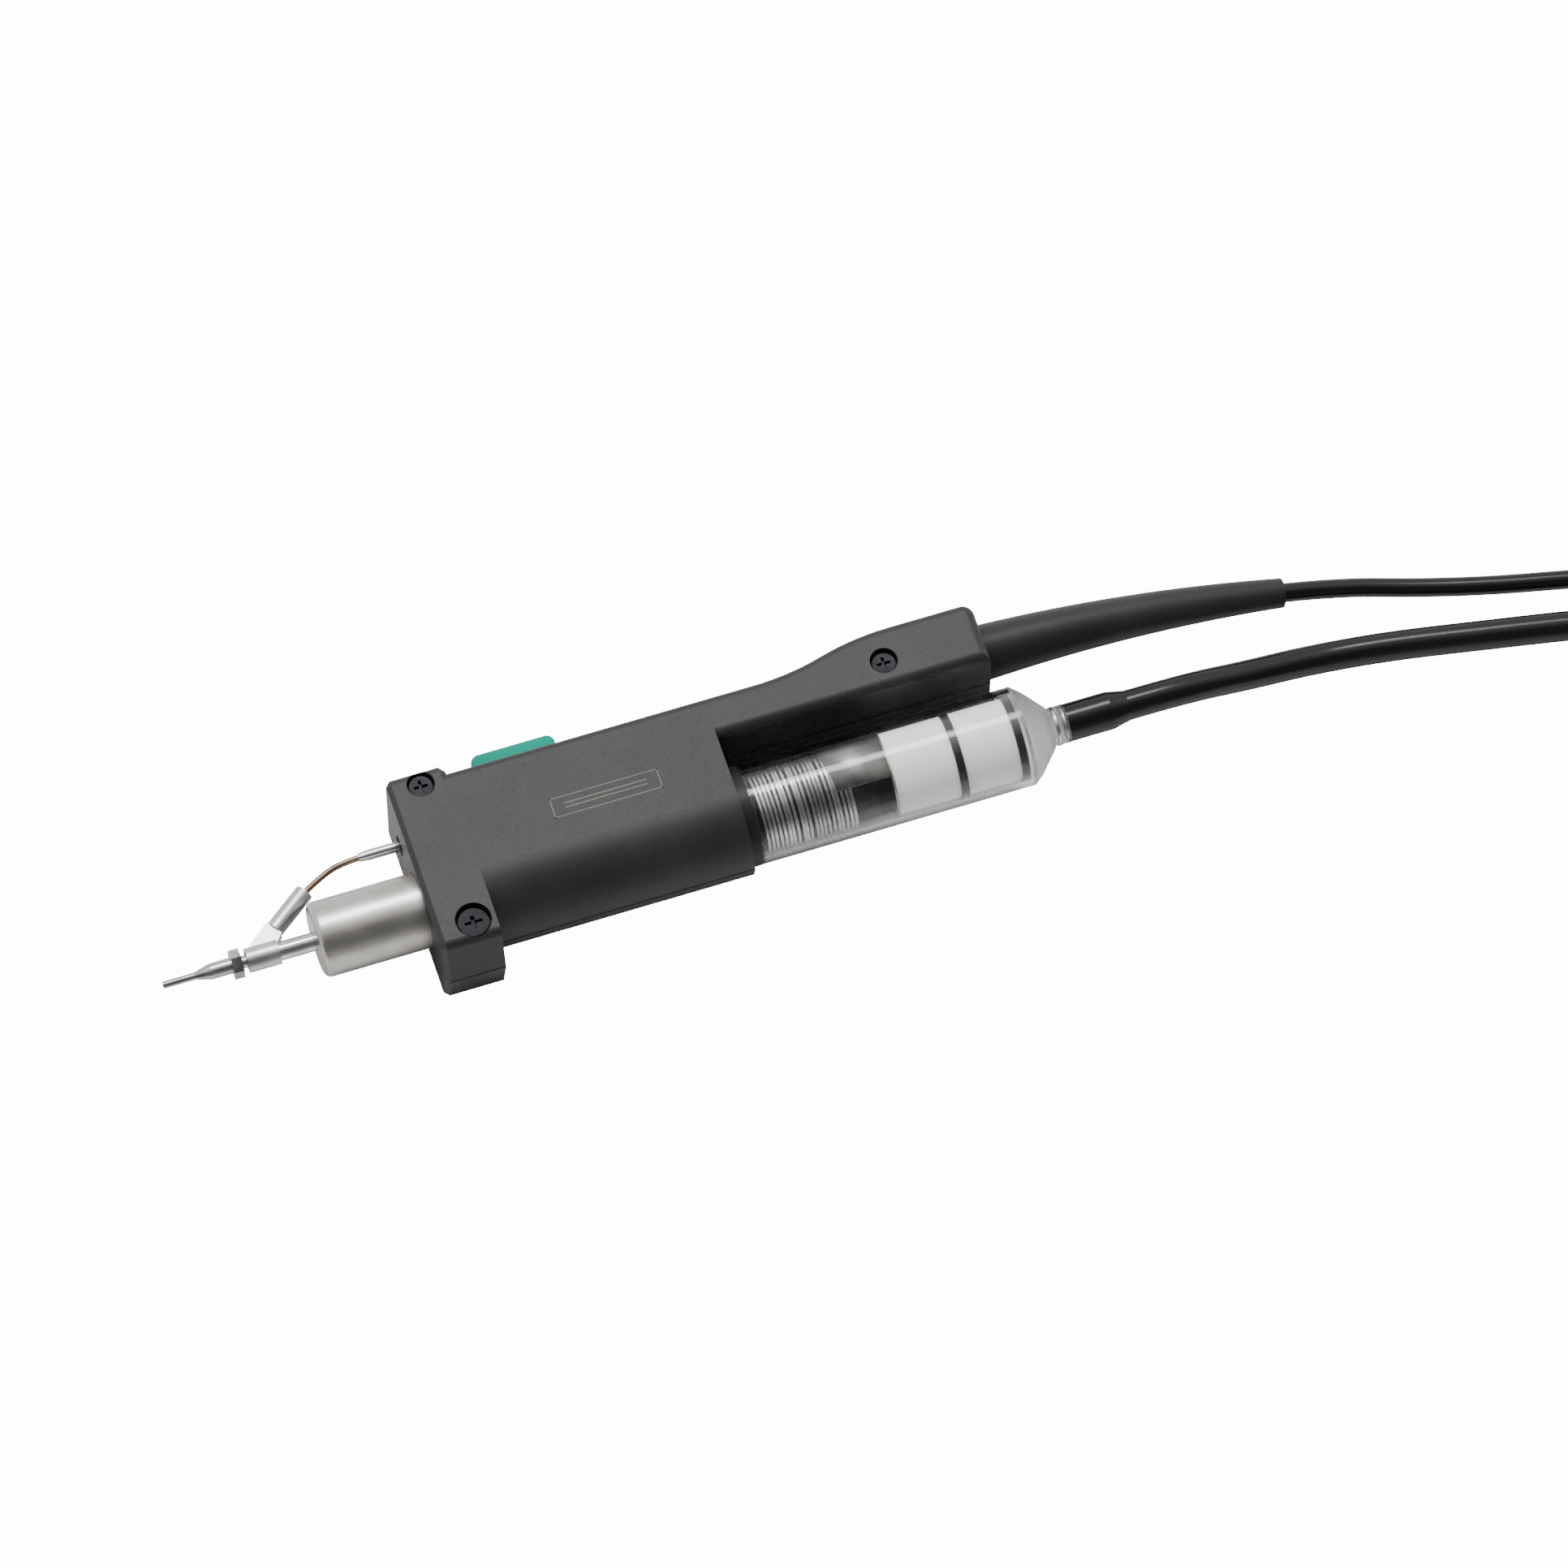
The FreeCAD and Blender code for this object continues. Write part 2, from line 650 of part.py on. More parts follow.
def cartridge():
    inner = "sleeve_radius - sleeve_wall"
    place("cartridge_sleeve", turned([("sleeve_front", inner), ("sleeve_front", "sleeve_radius"),
                                      ("sleeve_rear", "sleeve_radius"), ("sleeve_rear", inner)]))
    place("cartridge_cap", turned([
        ("cap_front", "tube_radius"), ("cap_front", "sleeve_radius - cap_round", "cap_round", -1),
        ("cap_front + cap_round", "sleeve_radius"), ("sleeve_front", "sleeve_radius"),
        ("sleeve_front", inner), ("sleeve_front + sleeve_wall * 2", inner),
        ("sleeve_front + sleeve_wall * 2", "tube_radius")]))
    place("cartridge_tube", turned([
        ("tube_front", "neck_radius"), ("tube_front", "tube_radius"), ("tube_rear", "tube_radius"),
        ("tube_rear", "tube_radius - tube_wall"), ("tube_front + tube_wall", "tube_radius - tube_wall"),
        ("tube_front + tube_wall", "neck_radius")]))
    place("heater_core", turned([("tube_front + 3", "0"), ("tube_front + 3", "tube_radius - tube_wall"),
                                 ("heater_rear", "tube_radius - tube_wall"), ("heater_rear", "0")]))
    place("cartridge_insulator", turned([
        ("insulator_front", "tube_radius"), ("insulator_front", inner),
        ("insulator_front + insulator_length", inner), ("insulator_front + insulator_length", "tube_radius")]))
    place("contact_plug", turned([
        ("sleeve_rear - 4", "tube_radius"), ("sleeve_rear - 4", inner), ("sleeve_rear", inner),
        ("sleeve_rear", "plug_radius"), ("plug_rear", "plug_radius"), ("plug_rear", "0"), ("tube_rear", "0"),
        ("tube_rear", "tube_radius")]))
    rings = []
    for number in range(3):
        start = f"sleeve_rear + 1.5 + {number} * contact_pitch"
        outer = cylinder("contact_radius", "contact_length", start, "0", "0", TOOL_X)
        rings.append(cut(outer, cylinder("plug_radius", "contact_length", start, "0", "0", TOOL_X)))
    place("contact_rings", group(*rings))


def nozzle():
    place("nozzle_tip", turned([
        ("tube_front + 2", "tip_bore"), ("tube_front + 2", "neck_radius"), ("collar_front", "neck_radius"),
        ("collar_front", "nozzle_radius"), ("nozzle_shoulder", "nozzle_radius"), ("tip_shoulder", "tip_radius"),
        ("tip_front", "tip_radius"), ("tip_front", "tip_bore")]))
    hexagon = doc.addObject("Part::Prism", "Hexagon")
    hexagon.Polygon = 6
    bind(hexagon, Circumradius="collar_radius", Height="collar_rear - collar_front")
    move(hexagon, "collar_front", "0", "0", TOOL_X)
    hole = cylinder("neck_radius", "collar_rear - collar_front", "collar_front", "0", "0", TOOL_X)
    place("nozzle_collar", cut(hexagon, hole))


def suction_branch():
    lean = FreeCAD.Rotation(V(0, 0, 1), value("branch_angle")).multiply(TOOL_X)
    ring = cylinder("saddle_radius", "saddle_rear - saddle_front", "saddle_front", "0", "0", TOOL_X)
    across = "branch_radius * sin(branch_angle)"
    rise = "branch_radius * cos(branch_angle)"
    gusset = body_of("Gusset")
    pad(gusset, outline(gusset, "XY_Plane", [
        ("saddle_front", "tube_radius * 0.7"), ("saddle_rear", "tube_radius * 0.7"),
        (f"branch_x + {across}", f"branch_y - {rise}"), (f"branch_x - {across}", f"branch_y + {rise}")],
        "-gusset_width / 2"), "gusset_width")
    tube_room = cylinder("tube_radius", "2 * (saddle_rear - saddle_front)", "saddle_front * 1.1", "0", "0", TOOL_X)
    place("branch_saddle", cut(fuse(ring, gusset), tube_room))
    sleeve = cylinder("branch_radius", "branch_length", "branch_x", "branch_y", "0", lean)
    hole = cylinder("suction_radius", "branch_length", "branch_x", "branch_y", "0", lean)
    place("branch_sleeve", cut(sleeve, hole))
    angle = math.radians(value("branch_angle"))
    length = value("branch_length")
    along = V(math.cos(angle), math.sin(angle), 0)
    mouth = V(value("branch_x"), value("branch_y"), 0)
    level = value("port_y")
    far = value("ferrule_rear") - 1.0
    corner = mouth + along * ((level - mouth.y) / along.y)
    points = [tuple(mouth), tuple(mouth + along * (length + 0.5)), (corner.x + 1.2, level - 0.5, 0),
              (corner.x + 5.0, level, 0), (far, level, 0)]
    solid_piece("suction_tube", bent_tube(in_frame(points), value("suction_radius"),
                                          value("suction_radius - suction_wall")))
    ferrule = turned([
        ("ferrule_front", "suction_radius"), ("ferrule_front", "suction_radius + suction_wall"),
        ("ferrule_front + ferrule_taper", "ferrule_radius"), ("ferrule_rear", "ferrule_radius"),
        ("ferrule_rear", "suction_radius")])
    place("tube_ferrule", ferrule, y="port_y")


# ---------------------------------------------------------------- inside the housing

def contact_socket():
    room = "half_depth - wall"
    front = "contact_socket_front"
    rear = "contact_socket_rear"
    place("contact_socket", turned([
        (front, "contact_radius + 0.5"), (front, room), (f"{front} + wall", room),
        (f"{front} + wall", "contact_socket_radius"), (rear, "contact_socket_radius"), (rear, "2.2"),
        ("plug_rear + 0.5", "2.2"), ("plug_rear + 0.5", "contact_radius + 0.5")]))
    springs = []
    for number in range(3):
        start = f"sleeve_rear + 2 + {number} * contact_pitch"
        outer = cylinder("contact_radius + 0.5", "1", start, "0", "0", TOOL_X)
        springs.append(cut(outer, cylinder("contact_radius + fit / 2", "1", start, "0", "0", TOOL_X)))
    place("contact_springs", group(*springs))


def suction_path():
    place("port_seal", turned([
        ("seal_front", "ferrule_radius + fit / 2"), ("seal_front", "seal_radius"), ("front_wall", "seal_radius"),
        ("front_wall", "duct_radius"), ("ferrule_rear + 0.5", "duct_radius"),
        ("ferrule_rear + 0.5", "ferrule_radius + fit / 2")]), y="port_y")
    high = value("port_y")
    low = value("half_depth - wall + duct_radius") + 0.2
    front = value("ferrule_rear") + 0.5
    rear = value("cavity_end")
    points = [(front, high, 0), (front + 5.8, high, 0), (front + 9.8, low, 0), (rear - 9.0, low, 0),
              (rear - 4.0, 0, 0), (value("duct_end"), 0, 0)]
    solid_piece("suction_duct", bent_tube(in_frame(points), value("duct_radius"),
                                          value("duct_radius - duct_wall")))


def arm_wiring():
    cable = cylinder("cable_radius", "arm_end - wall - clamp_x + 3", "0", "0", "0", TOOL_X)
    place("cable_end", group(cable), "clamp_x - 3", "boot_y")
    block = box("clamp_length", "hump_top - arm_under - 2 * wall", "2 * (half_depth - wall)", "clamp_x + 2",
                "arm_under + wall")
    hole = cylinder("cable_radius", "clamp_length + 2", "clamp_x - 1", "boot_y", "0", TOOL_X)
    place("cable_clamp", cut(block, hole))
    start = value("clamp_x") - 3.0
    over = value("hump_top - wall - lead_radius") - 0.3
    socket_rear = value("contact_socket_rear")
    board_end = value("button_x + board_length / 2")
    rear = value("cavity_end")
    for label, offset, lift, stop in (
            ("switch_leads", 0.5, 0.6, [(rear - 0.5, 13.4), (board_end, value("board_low + board_thickness / 2"))]),
            ("heater_leads", 2.2, -0.6, [(rear + 1.5, 13.6), (rear - 4.0, 10.5), (rear - 7.0, 5.4),
                                         (socket_rear, 5.0)])):
        wires = []
        for side in (-1, 1):
            z = side * offset
            points = [(start, value("boot_y") + lift, side * 0.6), (start - 3.5, over, z),
                      (start - 13.0, over - 1.6, z), (rear + 17.5, 15.4, z), (rear + 8.5, 14.0, z)]
            points += [(x, y, z) for x, y in stop]
            wires.append(bent_rod(in_frame(points), value("lead_radius"))[0])
        solid_piece(label, Part.makeCompound(wires))


# ---------------------------------------------------------------- solder collector

def collector():
    bore = "collector_radius - collector_wall"
    front = "grip_length - socket_depth + 0.3"
    place("collector_seal", turned([
        (front, "duct_radius + fit"), (front, "socket_radius - fit"), ("collar_end", "socket_radius - fit"),
        ("collar_end", bore), ("collar_end + 0.5", bore), ("collar_end + 0.5", f"{bore} - 1.2"),
        (f"{front} + 2", f"{bore} - 1.2"), (f"{front} + 2", "duct_radius + fit")]))
    barbs = []
    for number in range(3):
        start = f"stop_end + 0.4 + {number} * barb_pitch"
        barbs += [(start, "barb_radius - barb_step"), (start, "barb_radius"),
                  (f"{start} + 1.6", "barb_radius - barb_step")]
    place("collector_tube", turned([
        ("collar_end", bore), ("collar_end", "collector_radius"), ("collector_shoulder", "collector_radius"),
        ("collector_shoulder + 1.6", "collector_radius - 1.3"), ("collector_cone", "cone_radius"),
        ("collector_cone", "stop_radius"), ("stop_end", "stop_radius"), ("stop_end", "barb_radius - barb_step"),
        *barbs, ("barb_end", "barb_radius - barb_step"), ("barb_end", "outlet_bore"),
        ("collector_cone", "outlet_bore"), ("collector_shoulder + 0.8", f"{bore} - 1.3"),
        ("collector_shoulder - 0.4", bore)]))
    trap_radius = f"{bore} - trap_gap - trap_wire"
    trap = coil_spring(trap_radius, "trap_wire", "trap_rear - trap_front", "trap_turns")
    place("solder_trap", trap, "trap_front + trap_wire", "0", "0", TOOL_X)
    place("baffle_cone", turned([
        ("trap_rear", f"{bore} - trap_gap - baffle_sheet"), ("trap_rear", f"{bore} - trap_gap"),
        ("baffle_rear", f"{bore} - trap_gap"), ("baffle_rear", "outlet_bore"),
        ("baffle_rear - baffle_sheet", "outlet_bore"),
        ("baffle_rear - baffle_sheet", f"{bore} - trap_gap - baffle_sheet - 0.6")]))
    place("front_filter", turned([("baffle_rear", "0"), ("baffle_rear", f"{bore} - filter_gap"),
                                  ("filter_one_end", f"{bore} - filter_gap"), ("filter_one_end", "0")]))
    place("rear_filter", turned([("filter_one_end + ring_length", "0"),
                                 ("filter_one_end + ring_length", f"{bore} - filter_gap"),
                                 ("filter_two_end", f"{bore} - filter_gap"), ("filter_two_end", "0")]))
    for label, start in (("front_filter_ring", "filter_one_end"), ("rear_filter_ring", "filter_two_end")):
        place(label, turned([(start, "outlet_bore"), (start, f"{bore} - trap_gap"),
                             (f"{start} + ring_length", f"{bore} - trap_gap"),
                             (f"{start} + ring_length", "outlet_bore")]))


# ---------------------------------------------------------------- cable, hose and their ends

def strain_relief():
    """The boot bends towards the resting face: a base turned about its own axis, then a drooping taper."""
    rings = []
    steps = 6
    for number in range(steps + 1):
        share = number / steps
        ring = doc.addObject("Part::Circle", "BootRing")
        drop = f"{share ** 2:.4f}"
        lean_z = math.atan(2 * share * value("boot_tip_z") / value("boot_length"))
        lean_y = math.atan(2 * share * value("boot_tip_y - boot_y") / value("boot_length"))
        turn = FreeCAD.Rotation(V(0, 1, 0), -math.degrees(lean_z)).multiply(
            FreeCAD.Rotation(V(0, 0, 1), math.degrees(lean_y))).multiply(TOOL_X)
        ring.Placement = FreeCAD.Placement(V(0, 0, 0), turn)
        bind(ring, Radius=f"boot_base + (boot_tip - boot_base) * {share:.4f}",
             Placement__Base__x=f"arm_end + boot_length * {share:.4f}",
             Placement__Base__y=f"boot_y + (boot_tip_y - boot_y) * {drop}",
             Placement__Base__z=f"boot_tip_z * {drop}")
        rings.append(ring)
    taper = doc.addObject("Part::Loft", "Taper")
    taper.Sections = rings
    taper.Solid = True
    neck = cylinder("boot_neck", "wall + 1", "arm_end - wall - 0.5", "boot_y", "0", TOOL_X)
    flange = cylinder("boot_flange", "2", "arm_end - wall - 2", "boot_y", "0", TOOL_X)
    core = cylinder("cable_radius", "wall + 2", "arm_end - wall - 2", "boot_y", "0", TOOL_X)
    place("cable_boot", cut(fuse(taper, neck, flange), core))


def hank_block(label, prefix):
    """The outer shape of a folded and tied hank that lies on the resting plane: two runs and two folds."""
    run = f"{prefix}_back - {prefix}_front"
    height = f"{prefix}_height"
    loops = []
    for reach in (f"{prefix}_outer", f"{prefix}_inner"):
        middle = box(run, f"2 * {reach}", height, f"({run}) / 2", f"-{reach}", f"{height} / 2")
        loops.append(fuse(cylinder(reach, height), cylinder(reach, height, run), middle))
    place(label, cut(*loops), f"{prefix}_front + datum", f"{prefix}_y", "-half_depth")


def connector():
    """The round multi-pin plug on the cable, lying on the hank with its pins towards the tool."""
    x, y, height = CABLE_TAIL[-1]
    where = {"x": f"{x} + datum", "y": f"{y}", "z": f"{height} - half_depth",
             "rotation": FreeCAD.Rotation(V(0, 0, 1), 180)}
    end = "connector_length"
    place("connector_body", turned([
        ("0", "0"), ("0", "cable_radius + 1"), ("9", "connector_radius - 2"), ("11", "connector_radius"),
        (end, "connector_radius"), (end, "0")]), **where)
    rim = f"{end} + connector_shell_length"
    place("connector_shell", turned([
        (end, "connector_shell - 1"), (end, "connector_shell"), (rim, "connector_shell"),
        (rim, "connector_shell - 1")]), **where)
    insert = cylinder("connector_shell - 1", "connector_shell_length / 2", end, "0", "0", TOOL_X)
    place("connector_insert", group(insert), **where)
    pins = []
    for number in range(int(value("connector_pins"))):
        turn = f"{number} * 360 / connector_pins"
        pins.append(cylinder("pin_radius", "connector_shell_length / 2 - 1",
                             f"{end} + connector_shell_length / 2", f"pin_circle * cos({turn})",
                             f"pin_circle * sin({turn})", TOOL_X))
    place("connector_pins", group(*pins), **where)


def hose_parts():
    wall_over = "hose_stretch - barb_radius"
    place("hose_cuff", turned([
        ("stop_end", "barb_radius"), ("stop_end", "hose_stretch"), ("barb_end", "hose_stretch"),
        ("barb_end + hose_taper", "hose_radius"), ("hose_end", "hose_radius"), ("hose_end", "hose_bore"),
        ("barb_end + hose_taper", "hose_bore"), ("barb_end", f"hose_stretch - ({wall_over})")]))
    x, y, height = HOSE_TAIL[-1]
    spigot = "fitting_spigot"
    barbs = []
    for number in range(3):
        start = f"fitting_body + 3 + {number} * 3.2"
        barbs += [(start, f"{spigot} - 0.4"), (start, spigot), (f"{start} + 2.4", f"{spigot} - 0.4")]
    fitting = turned([
        ("0", "hose_bore"), ("0", "fitting_radius - 0.6"), ("0.6", "fitting_radius"),
        ("fitting_body", "fitting_radius"), ("fitting_body", f"{spigot} - 0.4"), *barbs,
        ("fitting_length", f"{spigot} - 0.4"), ("fitting_length", "hose_bore")])
    place("hose_fitting", fitting, f"{x} + datum", f"{y}", f"{height} - half_depth")


def cords():
    cord_run("power_cable", CABLE_ROUTE, value("cable_radius"))
    cord_run("cable_tail", CABLE_TAIL, value("cable_radius"))
    cord_run("suction_hose", HOSE_ROUTE, value("hose_radius"))
    cord_run("hose_tail", HOSE_TAIL, value("hose_radius"))
    hank_block("cable_hank", "cable_hank")
    hank_block("hose_hank", "hose_hank")


# ---------------------------------------------------------------- build, check and write

for make in (shells, screws, push_button, switch, cartridge, nozzle, suction_branch, contact_socket, suction_path,
             arm_wiring, collector, strain_relief, connector, hose_parts, cords):
    make()
doc.recompute()

for item in doc.Objects:
    if "Invalid" in item.State or "Error" in item.State:
        raise RuntimeError(f"{item.Label} did not build: {item.State}")
for label, item in subparts.items():
    if item.Shape.isNull() or not item.Shape.isValid() or not item.Shape.Solids:
        raise RuntimeError(f"{label} has no valid solid")

os.makedirs("parts", exist_ok=True)
for label, item in subparts.items():
    item.Shape.exportStep(f"parts/{label}.step")
print(f"{len(subparts)} sub-parts written")
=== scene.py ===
import math

import bmesh
import bpy
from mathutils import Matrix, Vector


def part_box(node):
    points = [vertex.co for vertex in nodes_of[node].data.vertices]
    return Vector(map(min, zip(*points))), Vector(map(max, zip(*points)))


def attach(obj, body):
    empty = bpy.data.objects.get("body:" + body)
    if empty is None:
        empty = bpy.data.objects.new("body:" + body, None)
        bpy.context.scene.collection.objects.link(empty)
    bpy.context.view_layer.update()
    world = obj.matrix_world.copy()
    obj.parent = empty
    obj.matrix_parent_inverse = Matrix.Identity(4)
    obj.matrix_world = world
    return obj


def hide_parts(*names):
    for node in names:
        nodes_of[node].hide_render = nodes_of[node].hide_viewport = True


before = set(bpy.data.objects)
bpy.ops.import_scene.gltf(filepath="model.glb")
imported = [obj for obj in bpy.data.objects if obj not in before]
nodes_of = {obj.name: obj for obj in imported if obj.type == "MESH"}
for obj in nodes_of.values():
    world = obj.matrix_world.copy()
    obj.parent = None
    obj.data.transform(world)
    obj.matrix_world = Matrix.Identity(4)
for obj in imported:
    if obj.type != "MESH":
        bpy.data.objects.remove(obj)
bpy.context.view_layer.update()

# Everything is in metres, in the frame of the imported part: X along the tool towards the cable, Y towards the
# push-button, Z up. MM turns the millimetres that sizes are written in below into metres.
MM = 0.001


# ---------------------------------------------------------------- places taken from the frame

def span(node, axis):
    low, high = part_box(node)
    return low[axis], high[axis]


AXIS_Z = sum(span("cartridge_sleeve", 2)) / 2        # height of the tool axis above the resting face
GLASS_RADIUS = (span("collector_tube", 1)[1] - span("collector_tube", 1)[0]) / 2
FRONT_FACE = span("near_shell", 0)[0]
FLOOR_Z = span("far_shell", 2)[0]
SHOULDER = span("rear_filter_ring", 0)[1] + 0.9 * MM    # where the clear tube turns in to its cone


# ---------------------------------------------------------------- materials

def new_material(name):
    material = bpy.data.materials.new(name)
    material.use_nodes = True
    tree = material.node_tree
    return material, tree.nodes, tree.links, tree.nodes["Principled BSDF"]


def noise(nodes, links, scale, detail=4.0, stretch=(1, 1, 1), roughness=0.6):
    """A noise texture in object space; stretch divides its scale along each axis."""
    place = nodes.new("ShaderNodeTexCoord")
    mapping = nodes.new("ShaderNodeMapping")
    mapping.inputs["Scale"].default_value = stretch
    texture = nodes.new("ShaderNodeTexNoise")
    texture.inputs["Scale"].default_value = scale
    texture.inputs["Detail"].default_value = detail
    texture.inputs["Roughness"].default_value = roughness
    links.new(place.outputs["Object"], mapping.inputs["Vector"])
    links.new(mapping.outputs["Vector"], texture.inputs["Vector"])
    return texture.outputs["Fac"]


def ramp(nodes, links, fac, stops):
    """A colour ramp: stops are (position, colour)."""
    node = nodes.new("ShaderNodeValToRGB")
    elements = node.color_ramp.elements
    while len(elements) < len(stops):
        elements.new(0.5)
    for element, (position, colour) in zip(elements, stops):
        element.position = position
        element.color = (*colour, 1.0)
    links.new(fac, node.inputs["Fac"])
    return node.outputs["Color"]


def grey(level):
    return (level, level, level)


def remap(nodes, links, fac, low, high):
    node = nodes.new("ShaderNodeMapRange")
    node.inputs["To Min"].default_value = low
    node.inputs["To Max"].default_value = high
    links.new(fac, node.inputs["Value"])
    return node.outputs["Result"]


def bump(nodes, links, shader, height, strength, distance):
    node = nodes.new("ShaderNodeBump")
    node.inputs["Strength"].default_value = strength
    node.inputs["Distance"].default_value = distance
    links.new(height, node.inputs["Height"])
    links.new(node.outputs["Normal"], shader.inputs["Normal"])


def moulded(name, dark, light, roughness, grain, depth, mottle=60.0, gloss=0.2):
    """Moulded plastic or rubber: slow shade changes, a fine sparked grain and uneven gloss."""
    material, nodes, links, shader = new_material(name)
    shader.inputs["Specular IOR Level"].default_value = gloss
    slow = noise(nodes, links, mottle, 3.0)
    links.new(ramp(nodes, links, slow, [(0.35, dark), (0.68, light)]), shader.inputs["Base Color"])
    fine = noise(nodes, links, grain, 3.0)
    links.new(remap(nodes, links, fine, roughness - 0.07, roughness + 0.09), shader.inputs["Roughness"])
    bump(nodes, links, shader, fine, 0.35, depth)
    return material


def metal(name, dark, light, roughness, along=(1, 1, 1), grain=900.0, depth=0.004 * MM, stain=None):
    """Worked metal: brushing stretched along an axis, slow tint changes, scratched gloss."""
    material, nodes, links, shader = new_material(name)
    shader.inputs["Metallic"].default_value = 1.0
    slow = noise(nodes, links, 140.0, 4.0)
    stops = [(0.3, dark), (0.7, light)]
    if stain:
        stops = [(0.2, stain), (0.42, dark), (0.7, light)]
    links.new(ramp(nodes, links, slow, stops), shader.inputs["Base Color"])
    brushed = noise(nodes, links, grain, 5.0, along)
    links.new(remap(nodes, links, brushed, roughness - 0.08, roughness + 0.12), shader.inputs["Roughness"])
    bump(nodes, links, shader, brushed, 0.3, depth)
    return material


def clear(name):
    """Clear moulded tube, frosted from its shoulder back. Shadow rays pass, so that what is inside is lit."""
    material, nodes, links, shader = new_material(name)
    shader.inputs["Base Color"].default_value = (0.98, 0.99, 0.99, 1.0)
    shader.inputs["Transmission Weight"].default_value = 1.0
    shader.inputs["IOR"].default_value = 1.42
    place = nodes.new("ShaderNodeTexCoord")
    split = nodes.new("ShaderNodeSeparateXYZ")
    links.new(place.outputs["Object"], split.inputs["Vector"])
    frost = nodes.new("ShaderNodeMapRange")
    frost.inputs["From Min"].default_value = SHOULDER - 0.6 * MM
    frost.inputs["From Max"].default_value = SHOULDER + 0.4 * MM
    frost.inputs["To Max"].default_value = 0.38
    links.new(split.outputs["X"], frost.inputs["Value"])
    smear = noise(nodes, links, 260.0, 3.0, (0.25, 1, 1))
    total = nodes.new("ShaderNodeMath")
    links.new(frost.outputs["Result"], total.inputs[0])
    links.new(remap(nodes, links, smear, 0.0, 0.06), total.inputs[1])
    links.new(total.outputs["Value"], shader.inputs["Roughness"])
    open_way = nodes.new("ShaderNodeBsdfTransparent")
    path = nodes.new("ShaderNodeLightPath")
    either = nodes.new("ShaderNodeMath")
    either.operation = "MAXIMUM"
    links.new(path.outputs["Is Shadow Ray"], either.inputs[0])
    links.new(path.outputs["Is Diffuse Ray"], either.inputs[1])
    mix = nodes.new("ShaderNodeMixShader")
    links.new(either.outputs["Value"], mix.inputs["Fac"])
    links.new(shader.outputs["BSDF"], mix.inputs[1])
    links.new(open_way.outputs["BSDF"], mix.inputs[2])
    links.new(mix.outputs["Shader"], nodes["Material Output"].inputs["Surface"])
    return material


def felt(name):
    """Pressed filter felt: matt, with fine fibres that lie across the tool axis."""
    material, nodes, links, shader = new_material(name)
    slow = noise(nodes, links, 300.0, 4.0)
    links.new(ramp(nodes, links, slow, [(0.3, (0.96, 0.92, 0.895)), (0.7, (1.0, 0.97, 0.95))]),
              shader.inputs["Base Color"])
    shader.inputs["Roughness"].default_value = 0.92
    shader.inputs["Sheen Weight"].default_value = 0.25
    fibres = noise(nodes, links, 2200.0, 6.0, (1, 0.35, 0.35))
    bump(nodes, links, shader, fibres, 0.6, 0.06 * MM)
    return material


HOUSING = moulded("housing_plastic", grey(0.016), grey(0.024), 0.48, 2600.0, 0.06 * MM, gloss=0.32)
BOOT = moulded("boot_rubber", grey(0.013), grey(0.020), 0.46, 3200.0, 0.03 * MM, gloss=0.3)
JACKET = moulded("cable_jacket", grey(0.004), grey(0.006), 0.22, 1800.0, 0.004 * MM, gloss=0.35)
HOSE = moulded("hose_rubber", grey(0.004), grey(0.007), 0.20, 1500.0, 0.003 * MM, gloss=0.35)
SEAL = moulded("seal_rubber", grey(0.012), grey(0.020), 0.40, 2400.0, 0.01 * MM)
BLACK = moulded("black_plastic", grey(0.016), grey(0.026), 0.42, 2600.0, 0.02 * MM)
BUTTON = moulded("button_plastic", (0.0, 0.235, 0.165), (0.0, 0.28, 0.2), 0.46, 2400.0, 0.012 * MM,
                 gloss=0.04)
BOARD = moulded("board_lacquer", (0.01, 0.12, 0.05), (0.02, 0.18, 0.08), 0.3, 1200.0, 0.01 * MM)
LEADS = moulded("lead_silicone", (0.30, 0.03, 0.02), (0.38, 0.05, 0.03), 0.45, 1800.0, 0.01 * MM)
CERAMIC = moulded("ceramic_white", (0.72, 0.71, 0.67), (0.84, 0.83, 0.80), 0.6, 1800.0, 0.01 * MM)
STEEL = metal("brushed_steel", (0.40, 0.38, 0.355), (0.56, 0.54, 0.51), 0.30, (0.15, 6, 6))
BRIGHT = metal("bright_steel", (0.52, 0.52, 0.52), (0.72, 0.72, 0.72), 0.14, (0.3, 3, 3))
WIRE = metal("spring_wire", (0.26, 0.255, 0.25), (0.62, 0.61, 0.59), 0.20, (4, 0.6, 0.6), 700.0)
TIP = metal("iron_plating", (0.34, 0.34, 0.35), (0.66, 0.66, 0.67), 0.20, (0.4, 3, 3), 1400.0,
            stain=(0.16, 0.15, 0.15))
PLATED = metal("satin_plating", (0.42, 0.42, 0.43), (0.62, 0.62, 0.63), 0.34, (1, 1, 1), 1600.0)
BRONZE = metal("tinted_tube", (0.17, 0.115, 0.075), (0.34, 0.25, 0.17), 0.24, (0.5, 2, 2), 900.0,
               stain=(0.16, 0.09, 0.06))
GOLD = metal("contact_brass", (0.62, 0.44, 0.18), (0.80, 0.62, 0.30), 0.24)
DARK_STEEL = metal("black_oxide", (0.004, 0.004, 0.0045), (0.010, 0.010, 0.011), 0.24, (2, 2, 1), 1500.0,
                   0.01 * MM)
# Painted shade: a near-black steel for the tube inside the collector, which stands in for the shade there.
SHADE_STEEL = metal("painted_shade_steel", (0.012, 0.012, 0.012), (0.06, 0.06, 0.058), 0.45, (4, 1, 1), 500.0)
TRAP_STEEL = metal("trap_steel", (0.085, 0.083, 0.08), (0.24, 0.235, 0.225), 0.36, (4, 0.6, 0.6), 700.0)
GLASS = clear("clear_tube")
FELT = felt("filter_felt")

